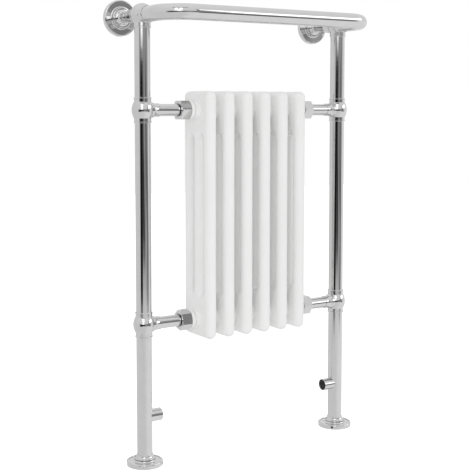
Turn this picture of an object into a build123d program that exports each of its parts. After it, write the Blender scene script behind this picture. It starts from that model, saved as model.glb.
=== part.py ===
from build123d import *
import os
from math import cos, radians, sin

# Floor-standing traditional towel radiator: two chromed tube posts with ball joints, a U-shaped
# towel rail on top, and a white six-section, three-column radiator hung between the posts.
# Millimetres. X runs from the left post to the right, +Y towards the wall, +Z up.
# The origin is on the floor, midway between the posts, at the middle of the overall depth.

# ---- Driving dimensions ----------------------------------------------------------------------
POST_SPACING = 500.0        # between the two post axes
TUBE_R = 16.0               # posts and towel rail, 32 mm tube
TUBE_WALL = 1.5
RAIL_Z = 925.0              # axis of the towel rail and of the wall fixings
RAIL_REACH = 113.0          # post axis to the axis of the rail's front run
RAIL_BEND_R = 57.0          # centre-line radius of the rail's two bends
WALL_GAP = 102.0            # post axis to the wall
UPPER_TEE_Z = 734.0
LOWER_TEE_Z = 294.0
INLET_Z = 101.0             # axis of the two water connections

SECTION_COUNT = 6
SECTION_PITCH = 45.6
COLUMN_R = 12.5
COLUMN_PITCH = 38.5         # front to back
COLUMN_COUNT = 3
COLUMN_WALL = 1.3
COLUMN_LAP = 2.0            # length of a column hidden inside each header
HEADER_HALF_T = 12.7        # a header is a hair thicker than the columns welded into it
HEADER_H = 99.0
HEADER_EDGE = 0.3           # half width left flat along the rounded edge of a header
PORT_TO_END = 39.5          # port axis to the top or bottom of the radiator
ARCH_FILLET = 12.0          # rounds each arch until the header stubs are as round as the columns
CAVITY_LIFT = 20.0          # height of the solid root of the header over the arches
CUT_MARGIN = 5.0            # how far a cutting shape passes the material it cuts

# ---- Ball fittings ---------------------------------------------------------------------------
BALL_R = 22.0
BALL_HALF_H = 27.0          # the ball is slightly taller than it is wide
TOP_BALL_R = 23.5
SOCKET_NECK_R = 17.3
SOCKET_RING_R = 18.0
SOCKET_RING_H = 3.2
SOCKET_RING_EDGE = 0.8
SOCKET_RING_STEP = 0.5
FITTING_HALF_H = 26.0       # ball centre to the end of a socket
SOCKET_STOP = 12.0          # ball centre to the shoulder that a tube end meets
ELBOW_STOP = 16.5           # the same in a top ball, where two tubes meet at a right angle
RAIL_OUTLET = 26.0          # ball centre to the mouth of the rail outlet
RAIL_OUTLET_WALL = 1.0      # at the mouth, growing to the root
RAIL_OUTLET_ROOT_WALL = 1.6
RAIL_OUTLET_ROOT = 14.0
RAIL_OUTLET_EDGE = 0.5
REAR_FACE_GAP = 0.1         # between a ball's rear face and the stem seated on it
BRAZE_GAP = 0.05            # radial gap of a brazed or glued socket
WATERWAY_R = 10.0

# ---- Branch pipes and unions, measured along X from the middle of the radiator ---------------
PIPE_R = 12.5
PIPE_WALL = 2.0
BRANCH_NECK_END = 36.0      # post axis to the mouth of a tee's branch
BRANCH_STOP = 20.0          # post axis to the shoulder that the pipe end meets
BRANCH_LIP_L = 3.0          # raised lip at the mouth of a branch
BRANCH_LIP_WALL = 1.4
BRANCH_LIP_EDGE = 0.6
FLARE_WAIST = 24.5          # post axis to the waist and to the root of a branch's flare
FLARE_WAIST_WALL = 2.1
FLARE_ROOT = 19.0
FLARE_ROOT_WALL = 4.2
FLARE_INNER = 8.0           # post axis to where the flare ends inside the ball
HUB_R = 21.0
HUB_BORE_R = 16.0
SEAL_T = 0.5
SEAL_R = 18.0
GASKET_T = 0.6              # between the hubs of neighbouring sections
GASKET_INSET = 0.8          # gasket edge inside the hub edge
GASKET_BORE_GAP = 0.3
NIPPLE_L = 26.0
NIPPLE_BORE_R = 13.0
BUSH_THREAD_L = 13.0
BUSH_BORE_R = 9.0
BUSH_FLANGE_R = 20.5
BUSH_FLANGE_T = 8.1
BUSH_EDGE = 0.8
UNION_THREAD_R = 14.5
UNION_THREAD_L = 10.6
UNION_WASHER_T = 1.5
UNION_WASHER_BORE_R = 9.6
UNION_WASHER_INSET = 0.5    # washer and collar edges inside the union thread
TAIL_COLLAR_T = 2.9
TAIL_COLLAR_INSET = 0.3
NUT_FLATS = 38.5
NUT_L = 22.1
NUT_FACE_GAP = 1.0          # between a nut and the flange of its bush
NUT_CHAMFER_L = 1.3
NUT_CHAMFER_W = 2.3
NUT_SKIRT_EDGE = 0.6        # lead-in of the nut's thread
NUT_RECESS_L = 3.5          # open recess round the pipe in the nut's outer face
NUT_RECESS_W = 2.4
NUT_REST_TURN = {           # where each nut came to rest when it was tightened, degrees
    ("left", "upper"): 0.0,
    ("left", "lower"): -17.0,
    ("right", "upper"): 0.0,
    ("right", "lower"): 0.0,
}
NUT_CLEARANCE = 0.06        # radial running clearance of a union nut
NUT_END_GAP = 0.4           # axial play of a union nut

# ---- Fixing roses, plates and water connections ----------------------------------------------
ROSE_R = 37.5
ROSE_RIM_H = 10.0
ROSE_RIM_W = 4.2
ROSE_RIM_ROUND = 2.6
ROSE_RIM_STEP = 0.3
ROSE_FOOT_EDGE = 0.4
ROSE_DISH_H = 8.6
ROSE_BOSS_R = 21.5
ROSE_BOSS_H = 15.8
ROSE_BOSS_ROUND = 1.8
ROSE_BOSS_COVE = 3.2        # hollow between the dish and the boss
ROSE_COVE_BULGE = 0.30
ROSE_NOSE_WALL = 1.2
ROSE_NOSE_EDGE = 0.6
ROSE_H = 23.0
ROSE_POCKET_R = 31.0
ROSE_POCKET_H = 6.4
PLATE_R = 30.0
PLATE_T = 4.0
PLATE_HOLE_CIRCLE_R = 23.0
PLATE_HOLE_R = 2.75
PLATE_HOLE_COUNT = 3
PLATE_SINK = 2.0            # countersink beyond the hole
PLATE_SPIGOT_H = 18.0
PLATE_SPIGOT_GAP = 0.2
PLATE_SPIGOT_CHAMFER = 1.5
PLUG_LIFT = 2.0             # spigot to blanking disc
PLUG_T = 5.0
GRUB_R = 2.5
GRUB_L = 5.0
GRUB_H = 5.0                # axis of a grub screw off the floor or the wall
GRUB_TIP_GAP = 0.9
GRUB_KEY_R = 1.44
GRUB_KEY_L = 2.2
GRUB_ANGLE = 223.0          # direction of the right floor rose's grub screw, from +X
STEM_ROOT = 16.6            # post axis to the face where a wall stem meets its ball
STEM_ROOT_R = 18.0
STEM_ROOT_EDGE = 0.8
STEM_ROOT_L = 3.5
STEM_WAIST = 52.0           # post axis to the middle of the stem's taper
STEM_WAIST_R = 13.1
STEM_NECK_LEAD = 2.0        # neck that shows in front of the rose
STEM_ROOT_THREAD_R = 5.0
STEM_ROOT_THREAD_L = 5.0
PLATE_STUD_R = 4.0          # M8 stud between wall plate and stem
PLATE_STUD_L = 14.0
PLATE_STUD_END_GAP = 2.0
STEM_NECK_R = 9.0
STUB_R = 13.0
STUB_REACH = 37.2
STUB_EDGE = 0.5
STUB_INNER = 6.0            # post axis to the stub's end before it is cut to the bore
STUB_BORE_R = 9.32          # half-inch BSP female, minor diameter 18.63
STUB_THREAD_L = 15.0
STUB_MOUTH_R = 11.6
STUB_MOUTH_L = 2.2          # countersink in front of the thread
STUB_WATERWAY_R = 7.5

# ---- Air vent, in the back of the last section's upper header ---------------------------------
VENT_Z = 745.0
VENT_BOSS_R = 8.0
VENT_BOSS_H = 3.0
VENT_BOSS_ROOT = 6.0        # length of the boss inside the header
VENT_THREAD_R = 4.8
VENT_THREAD_L = 7.0
VENT_FLATS = 13.0
VENT_HEX_H = 5.0
VENT_SCREW_R = 2.45
VENT_SCREW_CLEARANCE = 0.05
VENT_SCREW_TIP_GAP = 1.0
VENT_TAPPING = 3.0          # drilling beyond the end of the vent plug
VENT_KEY_SQUARE = 4.8
VENT_KEY_H = 6.0
VENT_KEY_GAP = 0.4
VENT_KEY_EDGE = 0.5

# ---- Worked out ------------------------------------------------------------------------------
HALF_SPACING = POST_SPACING / 2
BORE_R = TUBE_R - TUBE_WALL
SOCKET_R = TUBE_R + BRAZE_GAP
POST_Y = (RAIL_REACH + TUBE_R - WALL_GAP) / 2
RAIL_Y = POST_Y - RAIL_REACH
WALL_Y = POST_Y + WALL_GAP
RADIATOR_TOP = UPPER_TEE_Z + PORT_TO_END
RADIATOR_BOTTOM = LOWER_TEE_Z - PORT_TO_END
RADIATOR_DEPTH = 2 * (COLUMN_PITCH + COLUMN_R)
HUB_HALF_L = (SECTION_PITCH - GASKET_T) / 2
HUB_FACE = (SECTION_COUNT - 1) * SECTION_PITCH / 2 + HUB_HALF_L
BUSH_FACE = HUB_FACE + SEAL_T
THREAD_START = BUSH_FACE + BUSH_FLANGE_T
WASHER_START = THREAD_START + UNION_THREAD_L
COLLAR_START = WASHER_START + UNION_WASHER_T
COLLAR_END = COLLAR_START + TAIL_COLLAR_T
NUT_START = THREAD_START + NUT_FACE_GAP
NUT_END = NUT_START + NUT_L
VENT_FACE_Y = POST_Y + COLUMN_PITCH + HEADER_HALF_T + VENT_BOSS_H

SIDES = {"left": -1, "right": 1}
LEVELS = {"upper": UPPER_TEE_Z, "lower": LOWER_TEE_Z}

os.makedirs("parts", exist_ok=True)


def save(builder, name):
    builder.part.label = name
    export_step(builder.part, f"parts/{name}.step")


def post_plane(side, z):
    """Upright sketch plane on a post: local x is the radius from the post axis, local y is up."""
    return Plane(origin=(side * HALF_SPACING, POST_Y, z), x_dir=(1, 0, 0), z_dir=(0, -1, 0))


def post_axis(side):
    return Axis((side * HALF_SPACING, POST_Y, 0), (0, 0, 1))


def branch_plane(side, z):
    """Upright sketch plane on a branch: local x runs outwards from the middle, local y is up."""
    return Plane(origin=(0, POST_Y, z), x_dir=(side, 0, 0), z_dir=(0, -side, 0))


def branch_axis(z):
    return Axis((0, POST_Y, z), (1, 0, 0))


def wall_plane(side):
    """Upright sketch plane on a wall fixing: local x runs to the wall, local y is up."""
    return Plane(origin=(side * HALF_SPACING, POST_Y, RAIL_Z), x_dir=(0, 1, 0), z_dir=(1, 0, 0))


def wall_axis(side):
    return Axis((side * HALF_SPACING, POST_Y, RAIL_Z), (0, 1, 0))


# ---- Posts and towel rail --------------------------------------------------------------------
def post_tube(side, bottom, top):
    with BuildPart() as tube:
        with BuildSketch(Plane.XY.offset(bottom)):
            with Locations((side * HALF_SPACING, POST_Y)):
                Circle(TUBE_R)
                Circle(BORE_R, mode=Mode.SUBTRACT)
        extrude(amount=top - bottom)
    return tube


def leg_tube(side):
    """Bottom length of a post, bored for the water connection on its inner side."""
    with BuildPart() as leg:
        with BuildSketch(Plane.XY.offset(PLATE_T)):
            with Locations((side * HALF_SPACING, POST_Y)):
                Circle(TUBE_R)
                Circle(BORE_R, mode=Mode.SUBTRACT)
        extrude(amount=LOWER_TEE_Z - SOCKET_STOP - PLATE_T)
        stub_seat = Plane(origin=(side * HALF_SPACING, POST_Y, INLET_Z), z_dir=(-side, 0, 0))
        with BuildSketch(stub_seat):
            Circle(STUB_R + BRAZE_GAP)
        extrude(amount=TUBE_R + CUT_MARGIN, mode=Mode.SUBTRACT)
    return leg


def leg_plug(side):
    """Blanking disc that closes the bottom of the waterway, just above the floor spigot."""
    with BuildPart() as plug:
        with BuildSketch(Plane.XY.offset(PLATE_T + PLATE_SPIGOT_H + PLUG_LIFT)):
            with Locations((side * HALF_SPACING, POST_Y)):
                Circle(BORE_R - BRAZE_GAP)
        extrude(amount=PLUG_T)
    return plug


def towel_rail():
    """One length of tube bent into a U: two arms and the long front run."""
    arm_end = POST_Y - ELBOW_STOP
    with BuildPart() as rail:
        with BuildLine(Plane.XY.offset(RAIL_Z)) as path:
            FilletPolyline(
                (-HALF_SPACING, arm_end),
                (-HALF_SPACING, RAIL_Y),
                (HALF_SPACING, RAIL_Y),
                (HALF_SPACING, arm_end),
                radius=RAIL_BEND_R,
            )
        with BuildSketch(Plane(origin=(-HALF_SPACING, arm_end, RAIL_Z), z_dir=(0, -1, 0))):
            Circle(TUBE_R)
            Circle(BORE_R, mode=Mode.SUBTRACT)
        sweep(path=path.line)
    return rail


# ---- Ball fittings ---------------------------------------------------------------------------
def socket_profile(direction):
    """Half section of one tube socket: a neck with a raised ring at its mouth."""
    ring_start = FITTING_HALF_H - SOCKET_RING_H
    Polyline(
        (0, 0),
        (SOCKET_NECK_R, 0),
        (SOCKET_NECK_R, direction * ring_start),
        (SOCKET_RING_R, direction * (ring_start + SOCKET_RING_STEP)),
        (SOCKET_RING_R, direction * (FITTING_HALF_H - SOCKET_RING_EDGE)),
        (SOCKET_RING_R - SOCKET_RING_EDGE, direction * FITTING_HALF_H),
        (0, direction * FITTING_HALF_H),
        close=True,
    )


def ball_tee(side, z):
    """Ball fitting on a post, with a flared branch towards the radiator."""
    branch_mouth = HALF_SPACING - BRANCH_NECK_END
    with BuildPart() as tee:
        for direction in (-1, 1):
            with BuildSketch(post_plane(side, z)):
                with BuildLine():
                    socket_profile(direction)
                make_face()
            revolve(axis=post_axis(side))
        with BuildSketch(post_plane(side, z)):
            with BuildLine():
                EllipticalCenterArc((0, 0), BALL_R, BALL_HALF_H, start_angle=-90, arc_size=180)
                Line((0, BALL_HALF_H), (0, -BALL_HALF_H))
            make_face()
            with Locations((0, FITTING_HALF_H), (0, -FITTING_HALF_H)):
                Rectangle(2 * BALL_R, 2 * SOCKET_RING_H, mode=Mode.SUBTRACT)
        revolve(axis=post_axis(side))
        with BuildSketch(branch_plane(side, z)):
            with BuildLine():
                Polyline(
                    (HALF_SPACING - FLARE_ROOT, PIPE_R + FLARE_ROOT_WALL),
                    (HALF_SPACING - FLARE_INNER, PIPE_R + FLARE_ROOT_WALL),
                    (HALF_SPACING - FLARE_INNER, 0),
                    (branch_mouth, 0),
                    (branch_mouth, PIPE_R + BRANCH_LIP_WALL - BRANCH_LIP_EDGE),
                    (branch_mouth + BRANCH_LIP_EDGE, PIPE_R + BRANCH_LIP_WALL),
                    (branch_mouth + BRANCH_LIP_L, PIPE_R + BRANCH_LIP_WALL),
                )
                ThreePointArc(
                    (branch_mouth + BRANCH_LIP_L, PIPE_R + BRANCH_LIP_WALL),
                    (HALF_SPACING - FLARE_WAIST, PIPE_R + FLARE_WAIST_WALL),
                    (HALF_SPACING - FLARE_ROOT, PIPE_R + FLARE_ROOT_WALL),
                )
            make_face()
        revolve(axis=branch_axis(z))
        with BuildSketch(Plane.XY.offset(z - FITTING_HALF_H)):
            with Locations((side * HALF_SPACING, POST_Y)):
                Circle(WATERWAY_R)
        extrude(amount=2 * FITTING_HALF_H, mode=Mode.SUBTRACT)
        for bottom in (z - FITTING_HALF_H, z + SOCKET_STOP):
            with BuildSketch(Plane.XY.offset(bottom)):
                with Locations((side * HALF_SPACING, POST_Y)):
                    Circle(SOCKET_R)
            extrude(amount=FITTING_HALF_H - SOCKET_STOP, mode=Mode.SUBTRACT)
        mouth = Plane(origin=(side * branch_mouth, POST_Y, z), z_dir=(side, 0, 0))
        with BuildSketch(mouth):
            Circle(PIPE_R + BRAZE_GAP)
        extrude(amount=BRANCH_NECK_END - BRANCH_STOP, mode=Mode.SUBTRACT)
        with BuildSketch(mouth):
            Circle(PIPE_R - PIPE_WALL)
        extrude(amount=BRANCH_NECK_END, mode=Mode.SUBTRACT)
    return tee


def top_ball_joint(side):
    """Ball at the head of a post: socket below, rail outlet in front, wall fixing behind."""
    rear_face = STEM_ROOT - REAR_FACE_GAP
    with BuildPart() as joint:
        with BuildSketch(post_plane(side, RAIL_Z)):
            with BuildLine():
                socket_profile(-1)
            make_face()
        revolve(axis=post_axis(side))
        with BuildSketch(post_plane(side, RAIL_Z)):
            with BuildLine():
                CenterArc((0, 0), TOP_BALL_R, start_angle=-90, arc_size=180)
                Line((0, TOP_BALL_R), (0, -TOP_BALL_R))
            make_face()
        revolve(axis=post_axis(side))
        with BuildSketch(wall_plane(side)):
            with BuildLine():
                Polyline(
                    (0, 0),
                    (-RAIL_OUTLET, 0),
                    (-RAIL_OUTLET, TUBE_R + RAIL_OUTLET_WALL - RAIL_OUTLET_EDGE),
                    (-RAIL_OUTLET + RAIL_OUTLET_EDGE, TUBE_R + RAIL_OUTLET_WALL),
                    (-RAIL_OUTLET_ROOT, TUBE_R + RAIL_OUTLET_ROOT_WALL),
                    (0, TUBE_R + RAIL_OUTLET_ROOT_WALL),
                    close=True,
                )
            make_face()
            with BuildLine():
                Polyline(
                    (0, 0),
                    (rear_face, 0),
                    (rear_face, STEM_ROOT_R - STEM_ROOT_EDGE),
                    (rear_face - STEM_ROOT_EDGE, STEM_ROOT_R),
                    (rear_face - STEM_ROOT_L, STEM_ROOT_R),
                    (0, STEM_ROOT_R - STEM_ROOT_EDGE),
                    close=True,
                )
            make_face()
        revolve(axis=wall_axis(side))
        rear = Plane(origin=(side * HALF_SPACING, POST_Y + rear_face, RAIL_Z), z_dir=(0, 1, 0))
        with BuildSketch(rear):
            Circle(TOP_BALL_R)
        extrude(amount=TOP_BALL_R, mode=Mode.SUBTRACT)
        with BuildSketch(Plane.XY.offset(RAIL_Z - FITTING_HALF_H)):
            with Locations((side * HALF_SPACING, POST_Y)):
                Circle(SOCKET_R)
        extrude(amount=FITTING_HALF_H - ELBOW_STOP, mode=Mode.SUBTRACT)
        with BuildSketch(Plane.XY.offset(RAIL_Z - FITTING_HALF_H)):
            with Locations((side * HALF_SPACING, POST_Y)):
                Circle(WATERWAY_R)
        extrude(amount=FITTING_HALF_H, mode=Mode.SUBTRACT)
        ball_centre = Plane(origin=(side * HALF_SPACING, POST_Y, RAIL_Z), z_dir=(0, -1, 0))
        with BuildSketch(ball_centre):
            Circle(WATERWAY_R)
        extrude(amount=RAIL_OUTLET, mode=Mode.SUBTRACT)
        with BuildSketch(ball_centre.offset(ELBOW_STOP)):
            Circle(SOCKET_R)
        extrude(amount=RAIL_OUTLET - ELBOW_STOP, mode=Mode.SUBTRACT)
        with BuildSketch(rear):
            Circle(STEM_ROOT_THREAD_R + BRAZE_GAP)
        extrude(amount=-STEM_ROOT_THREAD_L, mode=Mode.SUBTRACT)
    return joint


# ---- Wall and floor fixings ------------------------------------------------------------------
def wall_stem(side):
    """Tapered stem from the ball to the wall plate, with its threaded root in the ball."""
    plate_face = WALL_GAP - PLATE_T
    neck_start = WALL_GAP - ROSE_H - STEM_NECK_LEAD
    with BuildPart() as stem:
        with BuildSketch(wall_plane(side)):
            with BuildLine():
                Polyline(
                    (STEM_ROOT, STEM_ROOT_R - STEM_ROOT_EDGE),
                    (STEM_ROOT, STEM_ROOT_THREAD_R),
                    (STEM_ROOT - STEM_ROOT_THREAD_L, STEM_ROOT_THREAD_R),
                    (STEM_ROOT - STEM_ROOT_THREAD_L, 0),
                    (plate_face, 0),
                    (plate_face, STEM_NECK_R),
                    (neck_start, STEM_NECK_R),
                )
                ThreePointArc(
                    (neck_start, STEM_NECK_R),
                    (STEM_WAIST, STEM_WAIST_R),
                    (STEM_ROOT + STEM_ROOT_L, STEM_ROOT_R),
                )
                Polyline(
                    (STEM_ROOT + STEM_ROOT_L, STEM_ROOT_R),
                    (STEM_ROOT + STEM_ROOT_EDGE, STEM_ROOT_R),
                    (STEM_ROOT, STEM_ROOT_R - STEM_ROOT_EDGE),
                )
            make_face()
        revolve(axis=wall_axis(side))
        stud_hole = Plane(origin=(side * HALF_SPACING, POST_Y + plate_face, RAIL_Z), z_dir=(0, -1, 0))
        with BuildSketch(stud_hole):
            Circle(PLATE_STUD_R + BRAZE_GAP)
        extrude(amount=PLATE_STUD_L + PLATE_STUD_END_GAP, mode=Mode.SUBTRACT)
    return stem


def rose_profile(bore_r):
    """Half section of a fixing rose: local x is the radius, local y the height off the surface."""
    dish_r = ROSE_R - ROSE_RIM_W
    rim_side = (ROSE_R, ROSE_RIM_H - ROSE_RIM_ROUND)
    cove_r = ROSE_BOSS_R + ROSE_BOSS_COVE
    cove_top = ROSE_DISH_H + ROSE_BOSS_COVE + ROSE_RIM_STEP
    top_r = ROSE_BOSS_R - ROSE_BOSS_ROUND
    nose_r = bore_r + ROSE_NOSE_WALL
    rim = Polyline(
        (ROSE_POCKET_R, ROSE_POCKET_H),
        (ROSE_POCKET_R, 0),
        (ROSE_R - ROSE_FOOT_EDGE, 0),
        (ROSE_R, ROSE_FOOT_EDGE),
        rim_side,
    )
    shoulder = TangentArc(rim_side, (ROSE_R - ROSE_RIM_ROUND, ROSE_RIM_H), tangent=(0, 1))
    dish = Polyline(
        shoulder @ 1,
        (dish_r + ROSE_RIM_STEP, ROSE_RIM_H),
        (dish_r, ROSE_DISH_H),
        (cove_r, ROSE_DISH_H + ROSE_RIM_STEP),
    )
    boss_cove = TangentArc(dish @ 1, (ROSE_BOSS_R, cove_top), tangent=(-1, 0))
    boss_side = Line(boss_cove @ 1, (ROSE_BOSS_R, ROSE_BOSS_H - ROSE_BOSS_ROUND))
    boss_edge = TangentArc(boss_side @ 1, (top_r, ROSE_BOSS_H), tangent=(0, 1))
    collar = ThreePointArc(
        boss_edge @ 1,
        (
            nose_r + ROSE_COVE_BULGE * (top_r - nose_r),
            ROSE_BOSS_H + ROSE_COVE_BULGE * (ROSE_H - ROSE_BOSS_H),
        ),
        (nose_r, ROSE_H - ROSE_NOSE_EDGE),
    )
    Polyline(
        collar @ 1,
        (nose_r - ROSE_NOSE_EDGE, ROSE_H),
        (bore_r, ROSE_H),
        (bore_r, ROSE_POCKET_H),
        rim @ 0,
    )


def floor_rose(side):
    """Turned rose brazed round the foot of a post, hollow beneath for the fixing plate."""
    angle = grub_direction(side)
    with BuildPart() as rose:
        with BuildSketch(post_plane(side, 0)):
            with BuildLine():
                rose_profile(SOCKET_R)
            make_face()
        revolve(axis=post_axis(side))
        with BuildSketch(grub_plane(side, angle, ROSE_POCKET_R - CUT_MARGIN)):
            Circle(GRUB_R + BRAZE_GAP)
        extrude(amount=ROSE_R - ROSE_POCKET_R + 2 * CUT_MARGIN, mode=Mode.SUBTRACT)
    return rose


def grub_direction(side):
    """The two floor roses are mirror images, so their grub screws face each other and the room."""
    return radians(GRUB_ANGLE if side > 0 else 180 - GRUB_ANGLE)


def grub_plane(side, angle, radius):
    """Plane across a floor grub screw at the given radius, facing outwards from the post."""
    outwards = (cos(angle), sin(angle), 0)
    centre = (side * HALF_SPACING + radius * cos(angle), POST_Y + radius * sin(angle), GRUB_H)
    return Plane(origin=centre, z_dir=outwards)


def floor_rose_screw(side):
    """Socket-headed grub screw that bears on the edge of the floor plate."""
    plane = grub_plane(side, grub_direction(side), PLATE_R + GRUB_TIP_GAP)
    with BuildPart() as screw:
        with BuildSketch(plane):
            Circle(GRUB_R)
        extrude(amount=GRUB_L)
        with BuildSketch(plane.offset(GRUB_L)):
            RegularPolygon(GRUB_KEY_R, 6)
        extrude(amount=-GRUB_KEY_L, mode=Mode.SUBTRACT)
    return screw


def floor_plate(side):
    """Disc screwed to the floor, with a spigot that centres the post."""
    with BuildPart() as plate:
        with BuildSketch(Plane.XY):
            with Locations((side * HALF_SPACING, POST_Y)):
                Circle(PLATE_R)
        extrude(amount=PLATE_T)
        with BuildSketch(Plane.XY.offset(PLATE_T)):
            with Locations((side * HALF_SPACING, POST_Y)):
                Circle(BORE_R - PLATE_SPIGOT_GAP)
        extrude(amount=PLATE_SPIGOT_H)
        chamfer(plate.faces().sort_by(Axis.Z)[-1].edges(), PLATE_SPIGOT_CHAMFER)
        with Locations(Location((side * HALF_SPACING, POST_Y, PLATE_T))):
            with PolarLocations(PLATE_HOLE_CIRCLE_R, PLATE_HOLE_COUNT, start_angle=90):
                CounterSinkHole(PLATE_HOLE_R, PLATE_HOLE_R + PLATE_SINK, depth=PLATE_T)
    return plate


def wall_rose(side):
    """Turned rose over the wall plate, closed round the neck of the wall stem."""
    wall_face = Plane(origin=(side * HALF_SPACING, WALL_Y, RAIL_Z), x_dir=(0, 0, 1), z_dir=(1, 0, 0))
    with BuildPart() as rose:
        with BuildSketch(wall_face):
            with BuildLine():
                rose_profile(STEM_NECK_R + BRAZE_GAP)
            make_face()
        revolve(axis=wall_axis(side))
        below = (side * HALF_SPACING, WALL_Y - GRUB_H, RAIL_Z - ROSE_POCKET_R + CUT_MARGIN)
        with BuildSketch(Plane(origin=below, z_dir=(0, 0, -1))):
            Circle(GRUB_R + BRAZE_GAP)
        extrude(amount=ROSE_R - ROSE_POCKET_R + 2 * CUT_MARGIN, mode=Mode.SUBTRACT)
    return rose


def wall_rose_screw(side):
    """Socket-headed grub screw under a wall rose, bearing on the edge of the wall plate."""
    tip_z = RAIL_Z - PLATE_R - GRUB_TIP_GAP
    tip = Plane(origin=(side * HALF_SPACING, WALL_Y - GRUB_H, tip_z), z_dir=(0, 0, -1))
    with BuildPart() as screw:
        with BuildSketch(tip):
            Circle(GRUB_R)
        extrude(amount=GRUB_L)
        with BuildSketch(tip.offset(GRUB_L)):
            RegularPolygon(GRUB_KEY_R, 6)
        extrude(amount=-GRUB_KEY_L, mode=Mode.SUBTRACT)
    return screw


def wall_plate(side):
    """Disc screwed to the wall, with the stud that the stem screws onto."""
    back = Plane(origin=(side * HALF_SPACING, WALL_Y, RAIL_Z), x_dir=(1, 0, 0), z_dir=(0, -1, 0))
    with BuildPart() as plate:
        with BuildSketch(back):
            Circle(PLATE_R)
        extrude(amount=PLATE_T)
        with BuildSketch(back.offset(PLATE_T)):
            Circle(PLATE_STUD_R)
        extrude(amount=PLATE_STUD_L)
        with Locations(back.offset(PLATE_T).location):
            with PolarLocations(PLATE_HOLE_CIRCLE_R, PLATE_HOLE_COUNT, start_angle=90):
                CounterSinkHole(PLATE_HOLE_R, PLATE_HOLE_R + PLATE_SINK, depth=PLATE_T)
    return plate


# ---- Water connections -----------------------------------------------------------------------
def inlet_stub(side):
    """Open half-inch female connection brazed into the leg, for a radiator valve's tail."""
    mouth = HALF_SPACING - STUB_REACH
    thread_start = mouth + STUB_MOUTH_L
    thread_end = thread_start + STUB_THREAD_L
    inner_end = HALF_SPACING - STUB_INNER
    with BuildPart() as stub:
        with BuildSketch(branch_plane(side, INLET_Z)):
            with BuildLine():
                Polyline(
                    (mouth, STUB_R - STUB_EDGE),
                    (mouth + STUB_EDGE, STUB_R),
                    (inner_end, STUB_R),
                    (inner_end, STUB_WATERWAY_R),
                    (thread_end, STUB_WATERWAY_R),
                    (thread_end, STUB_BORE_R),
                    (thread_start, STUB_BORE_R),
                    (mouth, STUB_MOUTH_R),
                    close=True,
                )
            make_face()
        revolve(axis=branch_axis(INLET_Z))
        with BuildSketch(Plane.XY.offset(INLET_Z - 2 * STUB_R)):
            with Locations((side * HALF_SPACING, POST_Y)):
                Circle(BORE_R)
        extrude(amount=4 * STUB_R, mode=Mode.SUBTRACT)
    return stub


# ---- Unions ----------------------------------------------------------------------------------
def branch_pipe(side, z):
    """Union tail: the pipe from a tee, ending in the collar that the union nut pulls on."""
    with BuildPart() as pipe:
        with BuildSketch(branch_plane(side, z)):
            with BuildLine():
                Polyline(
                    (COLLAR_START, PIPE_R - PIPE_WALL),
                    (COLLAR_START, UNION_THREAD_R - TAIL_COLLAR_INSET),
                    (COLLAR_END, UNION_THREAD_R - TAIL_COLLAR_INSET),
                    (COLLAR_END, PIPE_R),
                    (HALF_SPACING - BRANCH_STOP, PIPE_R),
                    (HALF_SPACING - BRANCH_STOP, PIPE_R - PIPE_WALL),
                    close=True,
                )
            make_face()
        revolve(axis=branch_axis(z))
    return pipe


def union_nut(side, z, turn):
    """Hexagonal union nut: threaded skirt over the bush, lip behind the pipe's collar."""
    corner_r = NUT_FLATS / 3**0.5
    thread_r = UNION_THREAD_R + NUT_CLEARANCE
    lip_start = COLLAR_END + NUT_END_GAP
    recess_start = NUT_END - NUT_RECESS_L
    with BuildPart() as nut:
        face = Plane(origin=(side * NUT_START, POST_Y, z), x_dir=(0, 1, 0), z_dir=(side, 0, 0))
        with BuildSketch(face):
            RegularPolygon(corner_r, 6, rotation=turn)
        extrude(amount=NUT_L)
        with BuildSketch(branch_plane(side, z)):
            with BuildLine():
                Polyline(
                    (NUT_START, 0),
                    (NUT_START, corner_r - NUT_CHAMFER_W),
                    (NUT_START + NUT_CHAMFER_L, corner_r),
                    (NUT_END - NUT_CHAMFER_L, corner_r),
                    (NUT_END, corner_r - NUT_CHAMFER_W),
                    (NUT_END, 0),
                    close=True,
                )
            make_face()
        revolve(axis=branch_axis(z), mode=Mode.INTERSECT)
        with BuildSketch(branch_plane(side, z)):
            with BuildLine():
                Polyline(
                    (NUT_START - CUT_MARGIN, 0),
                    (NUT_START - CUT_MARGIN, thread_r + NUT_SKIRT_EDGE),
                    (NUT_START, thread_r + NUT_SKIRT_EDGE),
                    (NUT_START + NUT_SKIRT_EDGE, thread_r),
                    (lip_start, thread_r),
                    (lip_start, PIPE_R + NUT_CLEARANCE),
                    (recess_start, PIPE_R + NUT_CLEARANCE),
                    (recess_start, PIPE_R + NUT_RECESS_W),
                    (NUT_END + CUT_MARGIN, PIPE_R + NUT_RECESS_W),
                    (NUT_END + CUT_MARGIN, 0),
                    close=True,
                )
            make_face()
        revolve(axis=branch_axis(z), mode=Mode.SUBTRACT)
    return nut


def radiator_bush(side, z):
    """Reducing bush screwed into the end hub, with the male thread for the union nut."""
    inner_end = HUB_FACE - BUSH_THREAD_L
    thread_r = HUB_BORE_R - BRAZE_GAP
    with BuildPart() as bush:
        with BuildSketch(branch_plane(side, z)):
            with BuildLine():
                Polyline(
                    (inner_end, BUSH_BORE_R),
                    (inner_end, thread_r - BUSH_EDGE),
                    (inner_end + BUSH_EDGE, thread_r),
                    (BUSH_FACE, thread_r),
                    (BUSH_FACE, BUSH_FLANGE_R - BUSH_EDGE),
                    (BUSH_FACE + BUSH_EDGE, BUSH_FLANGE_R),
                    (THREAD_START - BUSH_EDGE, BUSH_FLANGE_R),
                    (THREAD_START, BUSH_FLANGE_R - BUSH_EDGE),
                    (THREAD_START, UNION_THREAD_R),
                    (WASHER_START - BUSH_EDGE, UNION_THREAD_R),
                    (WASHER_START, UNION_THREAD_R - BUSH_EDGE),
                    (WASHER_START, BUSH_BORE_R),
                    close=True,
                )
            make_face()
        revolve(axis=branch_axis(z))
    return bush


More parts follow.
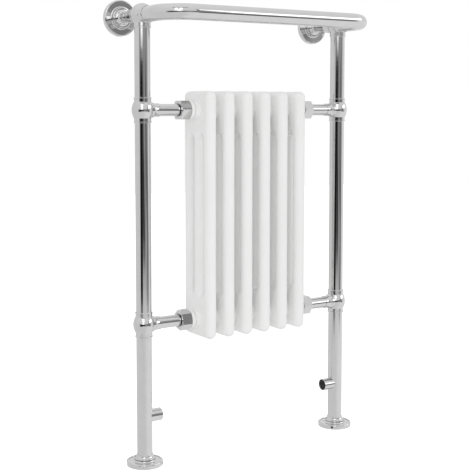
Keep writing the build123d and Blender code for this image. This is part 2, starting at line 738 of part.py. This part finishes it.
def ring_group(inner_r, outer_r, thickness, positions):
    """Identical flat rings on the port axes: positions are the x of a low face, and z."""
    with BuildPart() as rings:
        for x, z in positions:
            with BuildSketch(Plane(origin=(x, POST_Y, z), z_dir=(1, 0, 0))):
                Circle(outer_r)
                Circle(inner_r, mode=Mode.SUBTRACT)
            extrude(amount=thickness)
    return rings


# ---- Radiator --------------------------------------------------------------------------------
def section_x(index):
    return (index - (SECTION_COUNT + 1) / 2) * SECTION_PITCH


def header(x, bottom, arches_up, inset):
    """Flat oval header block, rounded over its far edge and arched between its columns."""
    half_t = HEADER_HALF_T - inset
    depth = RADIATOR_DEPTH + 2 * (HEADER_HALF_T - COLUMN_R) - 2 * inset
    arch_r = COLUMN_PITCH / 2 - COLUMN_R
    open_face = bottom if arches_up else bottom + HEADER_H
    direction = 1 if arches_up else -1
    with BuildPart() as block:
        with BuildSketch(Plane.XY.offset(open_face)):
            with Locations((x, POST_Y)):
                SlotOverall(depth, 2 * half_t, rotation=90)
        extrude(amount=direction * (HEADER_H - inset))
        far_face = block.faces().sort_by(Axis.Z)[-1 if arches_up else 0]
        fillet(far_face.edges(), half_t - HEADER_EDGE)
        if inset == 0:
            arch_plane = Plane(origin=(x, POST_Y, open_face), x_dir=(0, 1, 0), z_dir=(1, 0, 0))
            with BuildSketch(arch_plane):
                with Locations((-COLUMN_PITCH / 2, 0), (COLUMN_PITCH / 2, 0)):
                    Circle(arch_r)
            extrude(amount=2 * half_t, both=True, mode=Mode.SUBTRACT)
            arch_edges = (
                block.edges()
                .filter_by(GeomType.CIRCLE)
                .filter_by(lambda edge: abs(edge.radius - arch_r) < 0.01)
            )
            fillet(arch_edges, ARCH_FILLET)
        else:
            with BuildSketch(Plane.XY.offset(open_face)):
                with Locations((x, POST_Y)):
                    SlotOverall(depth + 2 * CUT_MARGIN, 2 * (half_t + CUT_MARGIN), rotation=90)
            extrude(amount=direction * CAVITY_LIFT, mode=Mode.SUBTRACT)
    return block


def radiator_section(index):
    """One hollow steel section: two headers joined by three columns, with a hub on each port."""
    x = section_x(index)
    column_bottom = RADIATOR_BOTTOM + HEADER_H - COLUMN_LAP
    column_top = RADIATOR_TOP - HEADER_H + COLUMN_LAP
    bore_start = RADIATOR_BOTTOM + HEADER_H - CAVITY_LIFT - COLUMN_LAP
    bore_end = RADIATOR_TOP - HEADER_H + CAVITY_LIFT + COLUMN_LAP
    upper = header(x, RADIATOR_TOP - HEADER_H, True, 0)
    lower = header(x, RADIATOR_BOTTOM, False, 0)
    upper_cavity = header(x, RADIATOR_TOP - HEADER_H, True, COLUMN_WALL)
    lower_cavity = header(x, RADIATOR_BOTTOM, False, COLUMN_WALL)
    with BuildPart() as section:
        add(upper.part)
        add(lower.part)
        with BuildSketch(Plane.XY.offset(column_bottom)):
            with Locations((x, POST_Y)):
                with GridLocations(0, COLUMN_PITCH, 1, COLUMN_COUNT):
                    Circle(COLUMN_R)
        extrude(amount=column_top - column_bottom)
        for z in LEVELS.values():
            with BuildSketch(Plane(origin=(x, POST_Y, z), z_dir=(1, 0, 0))):
                Circle(HUB_R)
            extrude(amount=HUB_HALF_L, both=True)
        if index == SECTION_COUNT:
            with BuildSketch(vent_plane(-VENT_BOSS_H - VENT_BOSS_ROOT)):
                Circle(VENT_BOSS_R)
            extrude(amount=VENT_BOSS_H + VENT_BOSS_ROOT)
        add(upper_cavity.part, mode=Mode.SUBTRACT)
        add(lower_cavity.part, mode=Mode.SUBTRACT)
        with BuildSketch(Plane.XY.offset(bore_start)):
            with Locations((x, POST_Y)):
                with GridLocations(0, COLUMN_PITCH, 1, COLUMN_COUNT):
                    Circle(COLUMN_R - COLUMN_WALL)
        extrude(amount=bore_end - bore_start, mode=Mode.SUBTRACT)
        for z in LEVELS.values():
            with BuildSketch(Plane(origin=(x, POST_Y, z), z_dir=(1, 0, 0))):
                Circle(HUB_BORE_R)
            extrude(amount=SECTION_PITCH, both=True, mode=Mode.SUBTRACT)
        if index == SECTION_COUNT:
            with BuildSketch(vent_plane(0)):
                Circle(VENT_THREAD_R + BRAZE_GAP)
            extrude(amount=-VENT_THREAD_L - VENT_TAPPING, mode=Mode.SUBTRACT)
    return section


# ---- Air vent --------------------------------------------------------------------------------
def vent_plane(height):
    """Upright plane at a height off the vent boss, facing the wall."""
    centre = (section_x(SECTION_COUNT), VENT_FACE_Y + height, VENT_Z)
    return Plane(origin=centre, x_dir=(1, 0, 0), z_dir=(0, 1, 0))


def vent_body():
    """Hexagonal vent plug screwed into the header, bored for its bleed screw."""
    with BuildPart() as body:
        with BuildSketch(vent_plane(0)):
            Circle(VENT_THREAD_R)
        extrude(amount=-VENT_THREAD_L)
        with BuildSketch(vent_plane(0)):
            RegularPolygon(VENT_FLATS / 3**0.5, 6)
        extrude(amount=VENT_HEX_H)
        with BuildSketch(vent_plane(VENT_HEX_H)):
            Circle(VENT_SCREW_R + VENT_SCREW_CLEARANCE)
        extrude(amount=-VENT_HEX_H - VENT_THREAD_L, mode=Mode.SUBTRACT)
    return body


def vent_screw():
    """Bleed screw with the square head that a radiator key turns."""
    head_base = VENT_HEX_H + VENT_KEY_GAP
    with BuildPart() as screw:
        with BuildSketch(vent_plane(head_base)):
            Circle(VENT_SCREW_R)
        extrude(amount=-head_base - VENT_THREAD_L + VENT_SCREW_TIP_GAP)
        with BuildSketch(vent_plane(head_base)):
            RectangleRounded(VENT_KEY_SQUARE, VENT_KEY_SQUARE, VENT_KEY_EDGE)
        extrude(amount=VENT_KEY_H)
        chamfer(screw.faces().sort_by(Axis.Y)[-1].edges(), VENT_KEY_EDGE)
    return screw


for side_name, side in SIDES.items():
    middle_bottom = LOWER_TEE_Z + SOCKET_STOP
    upper_bottom = UPPER_TEE_Z + SOCKET_STOP
    save(leg_tube(side), f"leg_tube_{side_name}")
    save(post_tube(side, middle_bottom, UPPER_TEE_Z - SOCKET_STOP), f"middle_post_tube_{side_name}")
    save(post_tube(side, upper_bottom, RAIL_Z - ELBOW_STOP), f"upper_post_tube_{side_name}")
    save(leg_plug(side), f"leg_plug_{side_name}")
    save(top_ball_joint(side), f"top_ball_joint_{side_name}")
    save(wall_stem(side), f"wall_stem_{side_name}")
    save(wall_rose(side), f"wall_rose_{side_name}")
    save(wall_rose_screw(side), f"wall_rose_screw_{side_name}")
    save(wall_plate(side), f"wall_plate_{side_name}")
    save(floor_rose(side), f"floor_rose_{side_name}")
    save(floor_rose_screw(side), f"floor_rose_screw_{side_name}")
    save(floor_plate(side), f"floor_plate_{side_name}")
    save(inlet_stub(side), f"inlet_stub_{side_name}")
    for level_name, level_z in LEVELS.items():
        save(ball_tee(side, level_z), f"{level_name}_ball_tee_{side_name}")
        save(branch_pipe(side, level_z), f"{level_name}_branch_pipe_{side_name}")
        rest_turn = NUT_REST_TURN[side_name, level_name]
        save(union_nut(side, level_z, rest_turn), f"{level_name}_union_nut_{side_name}")
        save(radiator_bush(side, level_z), f"{level_name}_radiator_bush_{side_name}")

save(towel_rail(), "towel_rail")
for number in range(1, SECTION_COUNT + 1):
    save(radiator_section(number), f"radiator_section_{number}")

# Rings and nipples on the port axes, each group one file of identical separate solids
joint_x = [section_x(number) + SECTION_PITCH / 2 for number in range(1, SECTION_COUNT)]
levels = LEVELS.values()
nipple_spots = [(x - NIPPLE_L / 2, z) for x in joint_x for z in levels]
gasket_spots = [(x - GASKET_T / 2, z) for x in joint_x for z in levels]
seal_spots = [(x, z) for x in (-BUSH_FACE, HUB_FACE) for z in levels]
washer_spots = [(x, z) for x in (-COLLAR_START, WASHER_START) for z in levels]
nipple_r = HUB_BORE_R - BRAZE_GAP
gasket_bore_r = HUB_BORE_R + GASKET_BORE_GAP
washer_r = UNION_THREAD_R - UNION_WASHER_INSET
save(ring_group(NIPPLE_BORE_R, nipple_r, NIPPLE_L, nipple_spots), "section_nipples")
save(ring_group(gasket_bore_r, HUB_R - GASKET_INSET, GASKET_T, gasket_spots), "section_gaskets")
save(ring_group(HUB_BORE_R, SEAL_R, SEAL_T, seal_spots), "bush_seals")
save(ring_group(UNION_WASHER_BORE_R, washer_r, UNION_WASHER_T, washer_spots), "union_washers")

save(vent_body(), "air_vent_body")
save(vent_screw(), "air_vent_screw")
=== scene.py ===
import math
from typing import NamedTuple

import bmesh
import bpy
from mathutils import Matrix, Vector


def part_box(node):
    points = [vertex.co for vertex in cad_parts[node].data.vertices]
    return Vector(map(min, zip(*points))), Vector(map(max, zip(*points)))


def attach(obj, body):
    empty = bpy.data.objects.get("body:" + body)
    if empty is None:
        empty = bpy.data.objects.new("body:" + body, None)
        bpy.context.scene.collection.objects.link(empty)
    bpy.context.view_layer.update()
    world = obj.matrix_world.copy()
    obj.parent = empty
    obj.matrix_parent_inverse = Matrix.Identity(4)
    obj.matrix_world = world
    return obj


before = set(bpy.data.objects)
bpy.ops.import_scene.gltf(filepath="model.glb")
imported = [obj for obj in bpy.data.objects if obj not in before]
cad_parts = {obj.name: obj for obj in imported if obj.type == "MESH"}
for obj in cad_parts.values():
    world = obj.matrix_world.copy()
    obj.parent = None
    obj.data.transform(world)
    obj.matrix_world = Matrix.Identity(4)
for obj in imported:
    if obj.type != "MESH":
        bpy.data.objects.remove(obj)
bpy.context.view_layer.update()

# Towel radiator: polished chrome posts, rail and fittings round a white enamelled radiator.
# Metres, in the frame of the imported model: X along the wall, +Y towards it, +Z up.

SIDES = {"left": -1, "right": 1}

# Mouth of a water connection: radius of the near-black painted shade inside it, and how ragged that
# painted edge is
PAINTED_SHADE_R = 0.0121
PAINTED_SHADE_RAGGED = 0.0002

# Its half-inch female thread: where it starts behind the mouth, and the shape of its crest, whose
# root and tip are half as wide as this many pitches
THREAD_FROM = 0.0032
THREAD_LENGTH = 0.0125
THREAD_PITCH = 0.001814
THREAD_ROOT_R = 0.00945
THREAD_HEIGHT = 0.00075
THREAD_ROOT_HALF = 0.45
THREAD_TIP_HALF = 0.06
THREAD_SEGMENTS = 40

# The range that a noise texture's values mostly cover
NOISE_LOW = 0.3
NOISE_HIGH = 0.7

# Camera, with its sensor and lens in millimetres
CAMERA_PLACE = Vector((-1.2456, -1.8666, 0.73985))
CAMERA_AIM = Vector((0.5352, 0.8410, -0.0795)).normalized()
CAMERA_SHIFT = (0.0183, -0.0947)
SENSOR_WIDTH = 36.0
FOCAL_LENGTH = 80.0

# Level directions from the object to the camera, and to the right as the camera sees it
TO_CAMERA = Vector((-0.5369, -0.8437, 0.0))
TO_RIGHT = Vector((0.8437, -0.5369, 0.0))
UP = Vector((0.0, 0.0, 1.0))

# The bare room in mirrors. Turn is in degrees round the object, from 0 towards the camera to
# positive at its right, and height in degrees above its level.
HORIZON = (-6.0, 10.0)
FLOOR_RADIANCE = 0.84
BRIGHT_FLOOR_RADIANCE = 1.0
BRIGHT_FLOOR_TURN = (30.0, 150.0)
BRIGHT_FLOOR_SOFT = 60.0
CEILING_RADIANCE = (0.90, 1.0)
CEILING_RISE = (25.0, 75.0)

# Radiance of the room for scattered light, from the camera's left to its right
FILL_RADIANCE = (0.72, 0.80)

FLOOR_HALF = 6.0
FLOOR_SQUARES = 8
FLOOR_GLOW = 0.80


class Panel(NamedTuple):
    """A flag, window or softbox in the room: its edges and their softness in turn and in height,
    its radiance, and its lean, the turn that it gains per degree of height."""

    name: str
    turn: tuple
    height: tuple
    soft: tuple
    radiance: float
    lean: float = 0.0


# Later panels stand in front of earlier ones
PANELS = [
    Panel("grey wall", (-43.0, 84.0), (-10.0, 6.5), (8.0, 4.0), 0.44),
    Panel("left wall", (-130.0, -100.0), (-20.0, 30.0), (30.0, 20.0), 0.86),
    Panel("horizon flag", (-37.0, 67.0), (-8.0, 2.6), (6.0, 3.0), 0.15),
    Panel("light behind flag", (18.0, 40.0), (-6.0, 3.5), (10.0, 4.0), 0.36),
    Panel("low light right", (34.0, 90.0), (-10.5, -5.5), (10.0, 4.0), 0.46),
    Panel("black flag", (-29.0, 4.0), (-11.5, 3.0), (6.0, 3.0), 0.012, lean=1.2),
    Panel("black corner", (4.0, 22.0), (-8.0, -2.5), (10.0, 3.0), 0.03),
    Panel("rail flag", (61.0, 73.0), (-11.5, -3.0), (3.0, 3.0), 0.09),
    Panel("dark doorway", (54.0, 65.5), (-4.0, 26.0), (4.0, 22.0), 0.30),
    Panel("window sill", (-18.0, 10.0), (3.4, 9.0), (14.0, 1.6), 1.6),
    Panel("window foot", (-8.0, 4.0), (8.0, 24.0), (4.0, 5.0), 2.2),
    Panel("window", (-17.0, 9.0), (22.0, 46.0), (3.0, 3.0), 2.6),
    Panel("mullion", (-6.0, -3.0), (20.0, 48.0), (2.0, 2.0), 0.30),
    Panel("transom", (-18.0, 10.0), (31.5, 34.0), (2.0, 2.0), 0.30),
    Panel("beam", (-34.0, 36.0), (50.0, 57.0), (8.0, 3.0), 0.25),
    Panel("strip softbox", (66.0, 112.0), (9.0, 26.0), (3.0, 3.0), 2.4),
    Panel("rear wall", (150.0, 179.0), (-14.0, 14.0), (16.0, 8.0), 0.78),
    Panel("far rear flag", (-176.0, -152.0), (-16.0, 12.0), (12.0, 6.0), 0.16),
]


# ---- Node helpers -----------------------------------------------------------------------------
def feed(tree, socket, value):
    """Links an output into a socket, or sets the socket's own value."""
    if isinstance(value, bpy.types.NodeSocket):
        tree.links.new(value, socket)
    else:
        socket.default_value = value


def maths(tree, operation, first, second=0.0, third=0.0):
    node = tree.nodes.new("ShaderNodeMath")
    node.operation = operation
    for socket, value in zip(node.inputs, (first, second, third)):
        feed(tree, socket, value)
    return node.outputs[0]


def dot(tree, vector, direction):
    node = tree.nodes.new("ShaderNodeVectorMath")
    node.operation = "DOT_PRODUCT"
    tree.links.new(vector, node.inputs[0])
    node.inputs[1].default_value = direction
    return node.outputs["Value"]


def remap(tree, value, from_low, from_high, to_low, to_high, smooth=False):
    node = tree.nodes.new("ShaderNodeMapRange")
    node.interpolation_type = "SMOOTHSTEP" if smooth else "LINEAR"
    tree.links.new(value, node.inputs["Value"])
    node.inputs["From Min"].default_value = from_low
    node.inputs["From Max"].default_value = from_high
    node.inputs["To Min"].default_value = to_low
    node.inputs["To Max"].default_value = to_high
    return node.outputs["Result"]


def mix(tree, factor, first, second):
    node = tree.nodes.new("ShaderNodeMix")
    node.data_type = "FLOAT"
    feed(tree, node.inputs[0], factor)
    feed(tree, node.inputs[2], first)
    feed(tree, node.inputs[3], second)
    return node.outputs[0]


def mix_colour(tree, factor, first, second):
    node = tree.nodes.new("ShaderNodeMix")
    node.data_type = "RGBA"
    tree.links.new(factor, node.inputs[0])
    tree.links.new(first, node.inputs[6])
    tree.links.new(second, node.inputs[7])
    return node.outputs[2]


def noise(tree, vector, scale, detail=2.0, roughness=0.5):
    node = tree.nodes.new("ShaderNodeTexNoise")
    tree.links.new(vector, node.inputs["Vector"])
    node.inputs["Scale"].default_value = scale
    node.inputs["Detail"].default_value = detail
    node.inputs["Roughness"].default_value = roughness
    return node.outputs["Fac"]


def grey(value):
    return (value, value, value, 1.0)


def ramp(tree, factor, stops):
    """A colour that runs between two stops of (place, colour)."""
    node = tree.nodes.new("ShaderNodeValToRGB")
    tree.links.new(factor, node.inputs["Fac"])
    for element, (place, colour) in zip(node.color_ramp.elements, stops):
        element.position = place
        element.color = colour
    return node.outputs["Color"]


def tones(tree, value, dark, light, light_from=NOISE_HIGH):
    """A noise as a colour between two tones."""
    return ramp(tree, value, [(NOISE_LOW, dark), (light_from, light)])


def spread(tree, value, low, high):
    """A noise stretched to run from one value to another."""
    return remap(tree, value, NOISE_LOW, NOISE_HIGH, low, high)


def bump(tree, height, strength, distance, normal=None):
    node = tree.nodes.new("ShaderNodeBump")
    node.inputs["Strength"].default_value = strength
    node.inputs["Distance"].default_value = distance
    tree.links.new(height, node.inputs["Height"])
    if normal is not None:
        tree.links.new(normal, node.inputs["Normal"])
    return node.outputs["Normal"]


def new_material(name, metallic=0.0):
    """A principled material: itself, its tree, its shader, and the object's own coordinates."""
    material = bpy.data.materials.new(name)
    material.use_nodes = True
    tree = material.node_tree
    shader = next(n for n in tree.nodes if n.type == "BSDF_PRINCIPLED")
    shader.inputs["Metallic"].default_value = metallic
    place = tree.nodes.new("ShaderNodeTexCoord").outputs["Object"]
    return material, tree, shader, place


def surface(tree, shader, colour, roughness, normal):
    """Wires a finish's three patterns into its shader."""
    tree.links.new(colour, shader.inputs["Base Color"])
    tree.links.new(roughness, shader.inputs["Roughness"])
    tree.links.new(normal, shader.inputs["Normal"])


# ---- Water connections ------------------------------------------------------------------------
def inlet_place(side_name):
    """How far from the middle a water connection's mouth is, and its axis's y and z."""
    stub_low, stub_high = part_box(f"inlet_stub_{side_name}")
    mouth = min(abs(stub_low[0]), abs(stub_high[0]))
    return mouth, (stub_low[1] + stub_high[1]) / 2, (stub_low[2] + stub_high[2]) / 2


def helical_crest(side, mouth, axis_y, axis_z):
    """Closed helical ridge of a female thread, its root just inside the wall of the bore."""
    start = mouth + THREAD_FROM
    steps = int(THREAD_SEGMENTS * THREAD_LENGTH / THREAD_PITCH)
    crest = bmesh.new()
    rings = []
    for step in range(steps + 1):
        angle = 2.0 * math.pi * step / THREAD_SEGMENTS
        along = start + THREAD_PITCH * step / THREAD_SEGMENTS
        lead = min(1.0, step / THREAD_SEGMENTS, (steps - step) / THREAD_SEGMENTS)
        tip_r = THREAD_ROOT_R - lead * THREAD_HEIGHT
        profile = [
            (-THREAD_ROOT_HALF, THREAD_ROOT_R),
            (-THREAD_TIP_HALF, tip_r),
            (THREAD_TIP_HALF, tip_r),
            (THREAD_ROOT_HALF, THREAD_ROOT_R),
        ]
        ring = []
        for shift, radius in profile:
            x = side * (along + shift * THREAD_PITCH)
            y = axis_y + radius * math.cos(angle)
            z = axis_z + radius * math.sin(angle)
            ring.append(crest.verts.new((x, y, z)))
        rings.append(ring)
    for first, second in zip(rings, rings[1:]):
        for corner in range(len(first)):
            other = (corner + 1) % len(first)
            crest.faces.new((first[corner], first[other], second[other], second[corner]))
    crest.faces.new(rings[0])
    crest.faces.new(list(reversed(rings[-1])))
    bmesh.ops.recalc_face_normals(crest, faces=crest.faces)
    return crest


def inlet_thread(side_name, side, finish):
    """Visible thread of one water connection."""
    mesh = bpy.data.meshes.new(f"inlet_thread_{side_name}")
    crest = helical_crest(side, *inlet_place(side_name))
    crest.to_mesh(mesh)
    crest.free()
    mesh.materials.append(finish)
    thread = bpy.data.objects.new(f"inlet_thread_{side_name}", mesh)
    bpy.context.scene.collection.objects.link(thread)
    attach(thread, "frame")


# ---- Materials --------------------------------------------------------------------------------
def chrome_parts():
    """Bright plate over buffed brass: a very faint waviness, and a trace of polishing haze."""
    material, tree, shader, place = new_material("polished_chrome", metallic=1.0)
    haze = noise(tree, place, 38.0, 4.0, 0.6)
    grain = noise(tree, place, 420.0, 3.0, 0.6)
    colour = tones(tree, haze, grey(0.605), grey(0.64))
    roughness = maths(tree, "ADD", spread(tree, haze, 0.035, 0.055), spread(tree, grain, 0.0, 0.02))
    wave = bump(tree, noise(tree, place, 22.0, 1.0), 0.12, 0.0006)
    surface(tree, shader, colour, roughness, bump(tree, grain, 0.03, 0.00005, wave))
    return material, tree, shader, place


def stub_chrome():
    """The same plate on both water connections, with painted shade: near-black, rough metal inside
    their mouths.
    """
    material, tree, shader, place = chrome_parts()
    material.name = "polished_chrome_painted_bore_shade"
    _, axis_y, axis_z = inlet_place("left")
    # Painted shade: inside a ragged circle round the connection's axis the colour turns near-black,
    # standing in for the shade in its bore
    split = tree.nodes.new("ShaderNodeSeparateXYZ")
    tree.links.new(place, split.inputs[0])
    across = maths(tree, "SUBTRACT", split.outputs["Y"], axis_y)
    above = maths(tree, "SUBTRACT", split.outputs["Z"], axis_z)
    across_squared = maths(tree, "MULTIPLY", across, across)
    above_squared = maths(tree, "MULTIPLY", above, above)
    radius = maths(tree, "SQRT", maths(tree, "ADD", across_squared, above_squared))
    shade_mottle = noise(tree, place, 260.0, 4.0, 0.65)
    ragged = maths(tree, "ADD", radius, spread(tree, shade_mottle, -PAINTED_SHADE_RAGGED, PAINTED_SHADE_RAGGED))
    painted_shade = remap(tree, ragged, PAINTED_SHADE_R - PAINTED_SHADE_RAGGED, PAINTED_SHADE_R + PAINTED_SHADE_RAGGED, 1.0, 0.0)
    painted_shade_tone = tones(tree, shade_mottle, grey(0.05), grey(0.11))
    colour_in = shader.inputs["Base Color"]
    plated = colour_in.links[0].from_socket
    tree.links.new(mix_colour(tree, painted_shade, plated, painted_shade_tone), colour_in)
    rough_in = shader.inputs["Roughness"]
    polished = rough_in.links[0].from_socket
    tree.links.new(mix(tree, painted_shade, polished, spread(tree, shade_mottle, 0.42, 0.6)), rough_in)
    return material


def shaded_bore_thread_finish():
    """Thread inside a water connection, painted near-black as the shade in its bore."""
    material, tree, shader, place = new_material("thread_painted_shade", metallic=1.0)
    shade_mottle = noise(tree, place, 320.0, 4.0, 0.65)
    # Painted shade: a near-black tone with a faint mottle, standing in for the darkness inside the
    # bore
    colour = tones(tree, shade_mottle, grey(0.05), grey(0.14))
    surface(tree, shader, colour, spread(tree, shade_mottle, 0.35, 0.55), bump(tree, shade_mottle, 0.15, 0.0001))
    return material


def enamel():
    """White powder coat: satin, with fine orange peel and barely uneven tone."""
    material, tree, shader, place = new_material("white_enamel")
    tone = noise(tree, place, 9.0, 3.0, 0.55)
    peel = noise(tree, place, 520.0, 2.0, 0.5)
    colour = tones(tree, tone, (0.915, 0.915, 0.91, 1.0), (0.94, 0.94, 0.937, 1.0))
    roughness = maths(tree, "ADD", spread(tree, tone, 0.30, 0.36), spread(tree, peel, 0.0, 0.05))
    drift = bump(tree, noise(tree, place, 60.0, 2.0), 0.10, 0.0008)
    surface(tree, shader, colour, roughness, bump(tree, peel, 0.10, 0.0001, drift))
    return material


def zinc():
    """Zinc-plated steel, with the plating's crystal patches."""
    material, tree, shader, place = new_material("zinc_steel", metallic=1.0)
    cells = tree.nodes.new("ShaderNodeTexVoronoi")
    cells.inputs["Scale"].default_value = 160.0
    tree.links.new(place, cells.inputs["Vector"])
    spangle = cells.outputs["Distance"]
    colour = ramp(tree, spangle, [(0.1, grey(0.42)), (0.8, grey(0.56))])
    grain = bump(tree, noise(tree, place, 700.0, 3.0), 0.15, 0.0001)
    surface(tree, shader, colour, remap(tree, spangle, 0.0, 0.8, 0.28, 0.45), grain)
    return material


def rubber():
    """Black sealing rubber with a dusty bloom."""
    material, tree, shader, place = new_material("seal_rubber")
    bloom = noise(tree, place, 240.0, 4.0, 0.65)
    colour = tones(tree, bloom, grey(0.012), grey(0.04), light_from=0.75)
    surface(tree, shader, colour, spread(tree, bloom, 0.6, 0.8), bump(tree, bloom, 0.2, 0.0001))
    return material


def black_oxide():
    """Oiled black-oxide steel of the grub screws."""
    material, tree, shader, place = new_material("dark_steel", metallic=0.8)
    patches = noise(tree, place, 500.0, 4.0, 0.6)
    colour = tones(tree, patches, grey(0.02), grey(0.075), light_from=0.75)
    surface(tree, shader, colour, spread(tree, patches, 0.32, 0.5), bump(tree, patches, 0.1, 0.0001))
    return material


def nickel():
    """Warm nickel plate of the air vent, faintly patchy."""
    material, tree, shader, place = new_material("nickel", metallic=1.0)
    patches = noise(tree, place, 300.0, 3.0, 0.6)
    colour = tones(tree, patches, (0.56, 0.53, 0.48, 1.0), (0.64, 0.61, 0.56, 1.0))
    roughness = spread(tree, patches, 0.16, 0.28)
    surface(tree, shader, colour, roughness, bump(tree, patches, 0.08, 0.0001))
    return material


def dress_nodes():
    """Gives every CAD node the finishes of its slots, and the water connections their own."""
    finishes = {
        "polished_chrome": chrome_parts()[0],
        "white_enamel": enamel(),
        "zinc_steel": zinc(),
        "seal_rubber": rubber(),
        "dark_steel": black_oxide(),
        "nickel": nickel(),
    }
    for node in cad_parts.values():
        for slot in node.material_slots:
            slot.material = finishes[slot.material.name.split(".")[0]]
    bored = stub_chrome()
    for side_name in SIDES:
        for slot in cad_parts[f"inlet_stub_{side_name}"].material_slots:
            slot.material = bored


# ---- Studio -----------------------------------------------------------------------------------
def band(tree, value, edges, soft):
    """1 between two values and 0 outside them, with soft edges."""
    low, high = edges
    rise = remap(tree, value, low - soft / 2, low + soft / 2, 0.0, 1.0, smooth=True)
    fall = remap(tree, value, high - soft / 2, high + soft / 2, 1.0, 0.0, smooth=True)
    return maths(tree, "MULTIPLY", rise, fall)


def panel_mask(tree, turn, height, panel):
    """1 in the directions where a panel stands, and 0 elsewhere."""
    leaned = maths(tree, "MULTIPLY_ADD", height, -panel.lean, turn)
    in_turn = band(tree, leaned, panel.turn, panel.soft[0])
    in_height = band(tree, height, panel.height, panel.soft[1])
    return maths(tree, "MULTIPLY", in_turn, in_height)


def bare_room(tree, turn, height):
    """Radiance of the white room without its panels."""
    bright = band(tree, turn, BRIGHT_FLOOR_TURN, BRIGHT_FLOOR_SOFT)
    floor = mix(tree, bright, FLOOR_RADIANCE, BRIGHT_FLOOR_RADIANCE)
    ceiling = remap(tree, height, *CEILING_RISE, *CEILING_RADIANCE, smooth=True)
    return mix(tree, remap(tree, height, *HORIZON, 0.0, 1.0, smooth=True), floor, ceiling)


def studio_light():
    """Room and panels in mirrors, a smooth fill for scattered light, plain white for the camera."""
    world = bpy.data.worlds.new("studio")
    bpy.context.scene.world = world
    world.use_nodes = True
    tree = world.node_tree
    tree.nodes.clear()
    direction = tree.nodes.new("ShaderNodeTexCoord").outputs["Generated"]
    forward = dot(tree, direction, TO_CAMERA)
    rightward = dot(tree, direction, TO_RIGHT)
    turn = maths(tree, "DEGREES", maths(tree, "ARCTAN2", rightward, forward))
    height = maths(tree, "DEGREES", maths(tree, "ARCSINE", dot(tree, direction, UP)))
    radiance = bare_room(tree, turn, height)
    for panel in PANELS:
        radiance = mix(tree, panel_mask(tree, turn, height, panel), radiance, panel.radiance)
    ray = tree.nodes.new("ShaderNodeLightPath")
    fill = remap(tree, rightward, -1.0, 1.0, *FILL_RADIANCE)
    radiance = mix(tree, ray.outputs["Is Diffuse Ray"], radiance, fill)
    radiance = mix(tree, ray.outputs["Is Camera Ray"], radiance, 1.0)
    background = tree.nodes.new("ShaderNodeBackground")
    background.inputs["Color"].default_value = grey(1.0)
    tree.links.new(radiance, background.inputs["Strength"])
    output = tree.nodes.new("ShaderNodeOutputWorld")
    tree.links.new(background.outputs[0], output.inputs["Surface"])


def softlight(name, place, aim_height, size, power):
    """A large area light that fills the enamel without a spot in the chrome."""
    light = bpy.data.lights.new(name, "AREA")
    light.shape = "DISK"
    light.size = size
    light.energy = power
    lamp = bpy.data.objects.new(name, light)
    lamp.location = place
    lamp.rotation_euler = (UP * aim_height - place).to_track_quat("-Z", "Y").to_euler()
    lamp.visible_glossy = False
    lamp.visible_camera = False
    bpy.context.scene.collection.objects.link(lamp)


def pale_floor():
    """Plain white floor, bright enough to run into the background."""
    mesh = bpy.data.meshes.new("floor")
    grid = bmesh.new()
    bmesh.ops.create_grid(grid, x_segments=FLOOR_SQUARES, y_segments=FLOOR_SQUARES, size=FLOOR_HALF)
    grid.to_mesh(mesh)
    grid.free()
    floor = bpy.data.objects.new("floor", mesh)
    floor.visible_glossy = False
    floor.visible_diffuse = False
    bpy.context.scene.collection.objects.link(floor)
    material, _, shader, _ = new_material("floor_paint")
    shader.inputs["Base Color"].default_value = grey(0.6)
    shader.inputs["Roughness"].default_value = 0.9
    shader.inputs["Specular IOR Level"].default_value = 0.0
    shader.inputs["Emission Color"].default_value = grey(1.0)
    shader.inputs["Emission Strength"].default_value = FLOOR_GLOW
    mesh.materials.append(material)


def place_camera():
    """About 32 degrees left of the object's front, a little lower than its rail."""
    data = bpy.data.cameras.new("camera")
    data.sensor_width = SENSOR_WIDTH
    data.lens = FOCAL_LENGTH
    data.shift_x, data.shift_y = CAMERA_SHIFT
    camera = bpy.data.objects.new("camera", data)
    camera.location = CAMERA_PLACE
    camera.rotation_euler = CAMERA_AIM.to_track_quat("-Z", "Y").to_euler()
    bpy.context.scene.collection.objects.link(camera)
    bpy.context.scene.camera = camera


dress_nodes()
thread_finish = shaded_bore_thread_finish()
for side_name, side in SIDES.items():
    inlet_thread(side_name, side, thread_finish)

studio_light()
right_front = TO_CAMERA * 0.9 + TO_RIGHT * 2.4 + UP * 1.6
softlight("key", right_front, aim_height=0.55, size=1.4, power=3.0)
near_camera = TO_CAMERA * 2.2 - TO_RIGHT * 0.45 + UP * 0.8
softlight("front fill", near_camera, aim_height=0.5, size=0.9, power=7.5)
pale_floor()
place_camera()
bpy.context.scene.view_settings.view_transform = "Standard"
